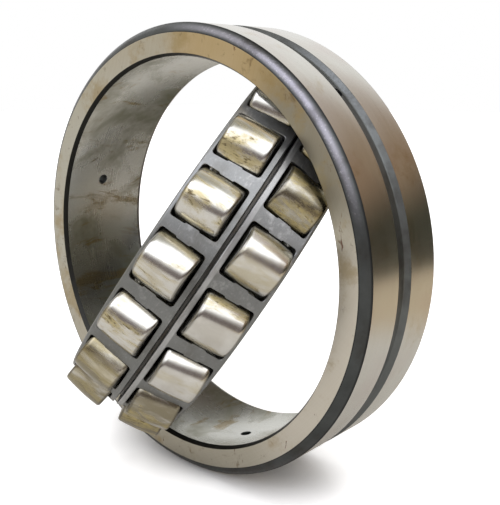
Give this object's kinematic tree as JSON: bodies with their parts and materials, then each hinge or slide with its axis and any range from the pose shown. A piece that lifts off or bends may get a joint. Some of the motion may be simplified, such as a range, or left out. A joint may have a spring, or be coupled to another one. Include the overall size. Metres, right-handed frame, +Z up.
{
  "type": "spherical roller bearing",
  "caption": "Double-row spherical roller bearing with its inner ring, cages and barrel rollers swivelled inside a grooved outer ring.",
  "frame": {"origin": "centre of the outer ring, which is also the centre of its spherical raceway", "axes": "+Y along the outer ring axis, away from the face that the picture shows; +Z up, with the ring standing on its rim"},
  "size_m": [0.1598, 0.1365, 0.1598],
  "materials": {
    "ring_steel": "ground and honed bearing steel, oil stained",
    "guide_steel": "dark turned steel",
    "cage_steel": "satin pressed steel",
    "roller_steel": "superfinished bearing steel"
  },
  "bodies": {
    "outer_ring": {"outer_ring": "ring_steel"},
    "inner_ring": {"inner_ring": "ring_steel"},
    "guide_ring": {"guide_ring": "guide_steel"},
    "cage_front": {"cage_front": "cage_steel"},
    "cage_rear": {"cage_rear": "cage_steel"},
    "roller_front_01": {"roller_front_01": "roller_steel"},
    "roller_front_02": {"roller_front_02": "roller_steel"},
    "roller_front_03": {"roller_front_03": "roller_steel"},
    "roller_front_04": {"roller_front_04": "roller_steel"},
    "roller_front_05": {"roller_front_05": "roller_steel"},
    "roller_front_06": {"roller_front_06": "roller_steel"},
    "roller_front_07": {"roller_front_07": "roller_steel"},
    "roller_front_08": {"roller_front_08": "roller_steel"},
    "roller_front_09": {"roller_front_09": "roller_steel"},
    "roller_front_10": {"roller_front_10": "roller_steel"},
    "roller_front_11": {"roller_front_11": "roller_steel"},
    "roller_front_12": {"roller_front_12": "roller_steel"},
    "roller_front_13": {"roller_front_13": "roller_steel"},
    "roller_front_14": {"roller_front_14": "roller_steel"},
    "roller_front_15": {"roller_front_15": "roller_steel"},
    "roller_front_16": {"roller_front_16": "roller_steel"},
    "roller_front_17": {"roller_front_17": "roller_steel"},
    "roller_front_18": {"roller_front_18": "roller_steel"},
    "roller_rear_01": {"roller_rear_01": "roller_steel"},
    "roller_rear_02": {"roller_rear_02": "roller_steel"},
    "roller_rear_03": {"roller_rear_03": "roller_steel"},
    "roller_rear_04": {"roller_rear_04": "roller_steel"},
    "roller_rear_05": {"roller_rear_05": "roller_steel"},
    "roller_rear_06": {"roller_rear_06": "roller_steel"},
    "roller_rear_07": {"roller_rear_07": "roller_steel"},
    "roller_rear_08": {"roller_rear_08": "roller_steel"},
    "roller_rear_09": {"roller_rear_09": "roller_steel"},
    "roller_rear_10": {"roller_rear_10": "roller_steel"},
    "roller_rear_11": {"roller_rear_11": "roller_steel"},
    "roller_rear_12": {"roller_rear_12": "roller_steel"},
    "roller_rear_13": {"roller_rear_13": "roller_steel"},
    "roller_rear_14": {"roller_rear_14": "roller_steel"},
    "roller_rear_15": {"roller_rear_15": "roller_steel"},
    "roller_rear_16": {"roller_rear_16": "roller_steel"},
    "roller_rear_17": {"roller_rear_17": "roller_steel"},
    "roller_rear_18": {"roller_rear_18": "roller_steel"}
  },
  "joints": [
    {"name": "swivel", "type": "hinge", "parent": "outer_ring", "child": "guide_ring", "pos_m": [0, 0, 0], "axis": [0.6481, 0, 0.7615], "range_deg": [-30.6, 149.4]},
    {"name": "inner_spin", "type": "hinge", "parent": "guide_ring", "child": "inner_ring", "pos_m": [0, 0, 0], "axis": [0.6555, 0.509, -0.5579], "continuous": true},
    {"name": "cage_front_orbit", "type": "hinge", "parent": "guide_ring", "child": "cage_front", "pos_m": [0, 0, 0], "axis": [0.6555, 0.509, -0.5579], "continuous": true},
    {"name": "cage_rear_orbit", "type": "hinge", "parent": "guide_ring", "child": "cage_rear", "pos_m": [0, 0, 0], "axis": [0.6555, 0.509, -0.5579], "continuous": true},
    {"name": "roller_front_01_spin", "type": "hinge", "parent": "cage_front", "child": "roller_front_01", "pos_m": [0.03864, -0.04165, 0.02543], "axis": [0.7659, 0.4062, -0.4984], "continuous": true},
    {"name": "roller_front_02_spin", "type": "hinge", "parent": "cage_front", "child": "roller_front_02", "pos_m": [0.03944, -0.02637, 0.0403], "axis": [0.768, 0.4464, -0.4593], "continuous": true},
    {"name": "roller_front_03_spin", "type": "hinge", "parent": "cage_front", "child": "roller_front_03", "pos_m": [0.03467, -0.00853, 0.05099], "axis": [0.7554, 0.4934, -0.4312], "continuous": true},
    {"name": "roller_front_04_spin", "type": "hinge", "parent": "cage_front", "child": "roller_front_04", "pos_m": [0.02494, 0.00972, 0.0562], "axis": [0.7298, 0.5414, -0.4174], "continuous": true},
    {"name": "roller_front_05_spin", "type": "hinge", "parent": "cage_front", "child": "roller_front_05", "pos_m": [0.0114, 0.02618, 0.05531], "axis": [0.6942, 0.5847, -0.4198], "continuous": true},
    {"name": "roller_front_06_spin", "type": "hinge", "parent": "cage_front", "child": "roller_front_06", "pos_m": [-0.00432, 0.03887, 0.04843], "axis": [0.6529, 0.6181, -0.4379], "continuous": true},
    {"name": "roller_front_07_spin", "type": "hinge", "parent": "cage_front", "child": "roller_front_07", "pos_m": [-0.0203, 0.04625, 0.03638], "axis": [0.6108, 0.6375, -0.4696], "continuous": true},
    {"name": "roller_front_08_spin", "type": "hinge", "parent": "cage_front", "child": "roller_front_08", "pos_m": [-0.03463, 0.04744, 0.02062], "axis": [0.5731, 0.6406, -0.511], "continuous": true},
    {"name": "roller_front_09_spin", "type": "hinge", "parent": "cage_front", "child": "roller_front_09", "pos_m": [-0.04558, 0.04228, 0.00305], "axis": [0.5443, 0.6271, -0.5573], "continuous": true},
    {"name": "roller_front_10_spin", "type": "hinge", "parent": "cage_front", "child": "roller_front_10", "pos_m": [-0.05183, 0.03141, -0.01421], "axis": [0.5279, 0.5985, -0.6027], "continuous": true},
    {"name": "roller_front_11_spin", "type": "hinge", "parent": "cage_front", "child": "roller_front_11", "pos_m": [-0.05262, 0.01613, -0.02908], "axis": [0.5258, 0.5583, -0.6418], "continuous": true},
    {"name": "roller_front_12_spin", "type": "hinge", "parent": "cage_front", "child": "roller_front_12", "pos_m": [-0.04786, -0.00171, -0.03977], "axis": [0.5383, 0.5113, -0.6699], "continuous": true},
    {"name": "roller_front_13_spin", "type": "hinge", "parent": "cage_front", "child": "roller_front_13", "pos_m": [-0.03812, -0.01996, -0.04498], "axis": [0.5639, 0.4633, -0.6836], "continuous": true},
    {"name": "roller_front_14_spin", "type": "hinge", "parent": "cage_front", "child": "roller_front_14", "pos_m": [-0.02458, -0.03642, -0.04409], "axis": [0.5995, 0.42, -0.6813], "continuous": true},
    {"name": "roller_front_15_spin", "type": "hinge", "parent": "cage_front", "child": "roller_front_15", "pos_m": [-0.00887, -0.04911, -0.03721], "axis": [0.6409, 0.3866, -0.6632], "continuous": true},
    {"name": "roller_front_16_spin", "type": "hinge", "parent": "cage_front", "child": "roller_front_16", "pos_m": [0.00711, -0.05649, -0.02516], "axis": [0.6829, 0.3672, -0.6315], "continuous": true},
    {"name": "roller_front_17_spin", "type": "hinge", "parent": "cage_front", "child": "roller_front_17", "pos_m": [0.02145, -0.05768, -0.0094], "axis": [0.7206, 0.3641, -0.59], "continuous": true},
    {"name": "roller_front_18_spin", "type": "hinge", "parent": "cage_front", "child": "roller_front_18", "pos_m": [0.0324, -0.05252, 0.00817], "axis": [0.7494, 0.3776, -0.5438], "continuous": true},
    {"name": "roller_rear_01_spin", "type": "hinge", "parent": "cage_rear", "child": "roller_rear_01", "pos_m": [0.05059, -0.03503, 0.00944], "axis": [0.5311, 0.608, -0.5901], "continuous": true},
    {"name": "roller_rear_02_spin", "type": "hinge", "parent": "cage_rear", "child": "roller_rear_02", "pos_m": [0.05297, -0.02084, 0.0252], "axis": [0.5249, 0.5706, -0.6316], "continuous": true},
    {"name": "roller_rear_03_spin", "type": "hinge", "parent": "cage_rear", "child": "roller_rear_03", "pos_m": [0.04976, -0.00352, 0.03723], "axis": [0.5333, 0.5251, -0.6632], "continuous": true},
    {"name": "roller_rear_04_spin", "type": "hinge", "parent": "cage_rear", "child": "roller_rear_04", "pos_m": [0.04135, 0.01485, 0.0441], "axis": [0.5554, 0.4768, -0.6813], "continuous": true},
    {"name": "roller_rear_05_spin", "type": "hinge", "parent": "cage_rear", "child": "roller_rear_05", "pos_m": [0.02874, 0.03204, 0.04497], "axis": [0.5886, 0.4315, -0.6836], "continuous": true},
    {"name": "roller_rear_06_spin", "type": "hinge", "parent": "cage_rear", "child": "roller_rear_06", "pos_m": [0.01346, 0.04598, 0.03974], "axis": [0.6288, 0.3949, -0.6698], "continuous": true},
    {"name": "roller_rear_07_spin", "type": "hinge", "parent": "cage_rear", "child": "roller_rear_07", "pos_m": [-0.00264, 0.055, 0.02904], "axis": [0.6712, 0.3711, -0.6417], "continuous": true},
    {"name": "roller_rear_08_spin", "type": "hinge", "parent": "cage_rear", "child": "roller_rear_08", "pos_m": [-0.01764, 0.05799, 0.01416], "axis": [0.7106, 0.3633, -0.6026], "continuous": true},
    {"name": "roller_rear_09_spin", "type": "hinge", "parent": "cage_rear", "child": "roller_rear_09", "pos_m": [-0.02971, 0.05462, -0.0031], "axis": [0.7424, 0.3721, -0.5571], "continuous": true},
    {"name": "roller_rear_10_spin", "type": "hinge", "parent": "cage_rear", "child": "roller_rear_10", "pos_m": [-0.0374, 0.04527, -0.02067], "axis": [0.7626, 0.3967, -0.5109], "continuous": true},
    {"name": "roller_rear_11_spin", "type": "hinge", "parent": "cage_rear", "child": "roller_rear_11", "pos_m": [-0.03978, 0.03108, -0.03642], "axis": [0.7689, 0.4341, -0.4695], "continuous": true},
    {"name": "roller_rear_12_spin", "type": "hinge", "parent": "cage_rear", "child": "roller_rear_12", "pos_m": [-0.03658, 0.01376, -0.04846], "axis": [0.7604, 0.4796, -0.4378], "continuous": true},
    {"name": "roller_rear_13_spin", "type": "hinge", "parent": "cage_rear", "child": "roller_rear_13", "pos_m": [-0.02816, -0.00461, -0.05532], "axis": [0.7383, 0.5279, -0.4198], "continuous": true},
    {"name": "roller_rear_14_spin", "type": "hinge", "parent": "cage_rear", "child": "roller_rear_14", "pos_m": [-0.01555, -0.0218, -0.0562], "axis": [0.7051, 0.5732, -0.4175], "continuous": true},
    {"name": "roller_rear_15_spin", "type": "hinge", "parent": "cage_rear", "child": "roller_rear_15", "pos_m": [-0.00028, -0.03574, -0.05097], "axis": [0.6649, 0.6098, -0.4312], "continuous": true},
    {"name": "roller_rear_16_spin", "type": "hinge", "parent": "cage_rear", "child": "roller_rear_16", "pos_m": [0.01583, -0.04475, -0.04027], "axis": [0.6226, 0.6336, -0.4594], "continuous": true},
    {"name": "roller_rear_17_spin", "type": "hinge", "parent": "cage_rear", "child": "roller_rear_17", "pos_m": [0.03082, -0.04775, -0.02539], "axis": [0.5831, 0.6414, -0.4985], "continuous": true},
    {"name": "roller_rear_18_spin", "type": "hinge", "parent": "cage_rear", "child": "roller_rear_18", "pos_m": [0.04289, -0.04438, -0.00812], "axis": [0.5514, 0.6326, -0.5439], "continuous": true}
  ],
  "couplings": [
    {"joint": "cage_front_orbit", "follows": "inner_spin", "ratio": 0.42771},
    {"joint": "cage_rear_orbit", "follows": "inner_spin", "ratio": 0.42771},
    {"joint": "roller_front_01_spin", "follows": "inner_spin", "ratio": -3.3415},
    {"joint": "roller_front_02_spin", "follows": "inner_spin", "ratio": -3.3415},
    {"joint": "roller_front_03_spin", "follows": "inner_spin", "ratio": -3.3415},
    {"joint": "roller_front_04_spin", "follows": "inner_spin", "ratio": -3.3415},
    {"joint": "roller_front_05_spin", "follows": "inner_spin", "ratio": -3.3415},
    {"joint": "roller_front_06_spin", "follows": "inner_spin", "ratio": -3.3415},
    {"joint": "roller_front_07_spin", "follows": "inner_spin", "ratio": -3.3415},
    {"joint": "roller_front_08_spin", "follows": "inner_spin", "ratio": -3.3415},
    {"joint": "roller_front_09_spin", "follows": "inner_spin", "ratio": -3.3415},
    {"joint": "roller_front_10_spin", "follows": "inner_spin", "ratio": -3.3415},
    {"joint": "roller_front_11_spin", "follows": "inner_spin", "ratio": -3.3415},
    {"joint": "roller_front_12_spin", "follows": "inner_spin", "ratio": -3.3415},
    {"joint": "roller_front_13_spin", "follows": "inner_spin", "ratio": -3.3415},
    {"joint": "roller_front_14_spin", "follows": "inner_spin", "ratio": -3.3415},
    {"joint": "roller_front_15_spin", "follows": "inner_spin", "ratio": -3.3415},
    {"joint": "roller_front_16_spin", "follows": "inner_spin", "ratio": -3.3415},
    {"joint": "roller_front_17_spin", "follows": "inner_spin", "ratio": -3.3415},
    {"joint": "roller_front_18_spin", "follows": "inner_spin", "ratio": -3.3415},
    {"joint": "roller_rear_01_spin", "follows": "inner_spin", "ratio": -3.3415},
    {"joint": "roller_rear_02_spin", "follows": "inner_spin", "ratio": -3.3415},
    {"joint": "roller_rear_03_spin", "follows": "inner_spin", "ratio": -3.3415},
    {"joint": "roller_rear_04_spin", "follows": "inner_spin", "ratio": -3.3415},
    {"joint": "roller_rear_05_spin", "follows": "inner_spin", "ratio": -3.3415},
    {"joint": "roller_rear_06_spin", "follows": "inner_spin", "ratio": -3.3415},
    {"joint": "roller_rear_07_spin", "follows": "inner_spin", "ratio": -3.3415},
    {"joint": "roller_rear_08_spin", "follows": "inner_spin", "ratio": -3.3415},
    {"joint": "roller_rear_09_spin", "follows": "inner_spin", "ratio": -3.3415},
    {"joint": "roller_rear_10_spin", "follows": "inner_spin", "ratio": -3.3415},
    {"joint": "roller_rear_11_spin", "follows": "inner_spin", "ratio": -3.3415},
    {"joint": "roller_rear_12_spin", "follows": "inner_spin", "ratio": -3.3415},
    {"joint": "roller_rear_13_spin", "follows": "inner_spin", "ratio": -3.3415},
    {"joint": "roller_rear_14_spin", "follows": "inner_spin", "ratio": -3.3415},
    {"joint": "roller_rear_15_spin", "follows": "inner_spin", "ratio": -3.3415},
    {"joint": "roller_rear_16_spin", "follows": "inner_spin", "ratio": -3.3415},
    {"joint": "roller_rear_17_spin", "follows": "inner_spin", "ratio": -3.3415},
    {"joint": "roller_rear_18_spin", "follows": "inner_spin", "ratio": -3.3415}
  ]
}
